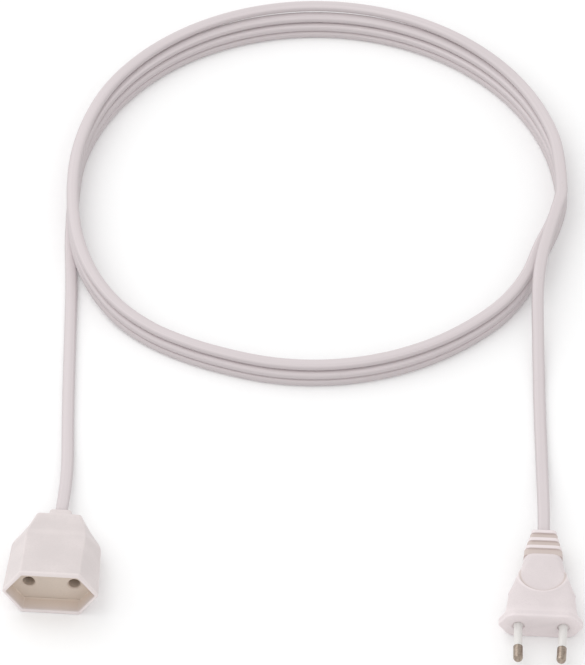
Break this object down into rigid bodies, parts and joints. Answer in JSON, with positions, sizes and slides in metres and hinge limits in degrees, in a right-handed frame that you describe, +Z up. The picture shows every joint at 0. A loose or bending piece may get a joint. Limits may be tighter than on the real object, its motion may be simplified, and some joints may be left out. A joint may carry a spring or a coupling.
{
  "type": "extension cord",
  "caption": "Flat two-core indoor extension cord, coiled, with a six-sided coupler socket and a flat two-pin plug.",
  "frame": {"origin": "middle of the coupler socket's box, on the surface that it lies on", "axes": "+Z up, the coupler's mouth faces -Y, the coil and the plug lie towards +X"},
  "size_m": [0.2404, 0.3671, 0.0228],
  "materials": {
    "housing": "semi-gloss moulded white",
    "plug": "satin moulded white PVC",
    "cord": "smooth extruded white PVC",
    "insert": "moulded",
    "contact": "stamped and rolled",
    "pin": "turned, dull nickel",
    "pin_sleeve": "smooth",
    "core_brown": "extruded",
    "core_blue": "extruded",
    "copper": "stranded copper"
  },
  "bodies": {
    "root": {"socket_housing": "housing", "contact_carrier": "insert", "carrier_cap": "insert", "contact_left": "contact", "contact_right": "contact", "socket_strands_left": "copper", "socket_strands_right": "copper", "socket_core_left": "core_blue", "socket_core_right": "core_brown", "socket_sheath_end": "cord", "socket_collar": "housing", "cord_tail_socket": "cord", "cord_coil": "cord", "cord_tail_plug": "cord", "plug_body": "plug", "plug_strain_relief": "plug", "plug_sheath_end": "cord", "pin_bridge": "insert", "pin_left": "pin", "pin_right": "pin", "pin_sleeve_left": "pin_sleeve", "pin_sleeve_right": "pin_sleeve", "plug_strands_left": "copper", "plug_strands_right": "copper", "plug_core_left": "core_blue", "plug_core_right": "core_brown"}
  },
  "joints": []
}
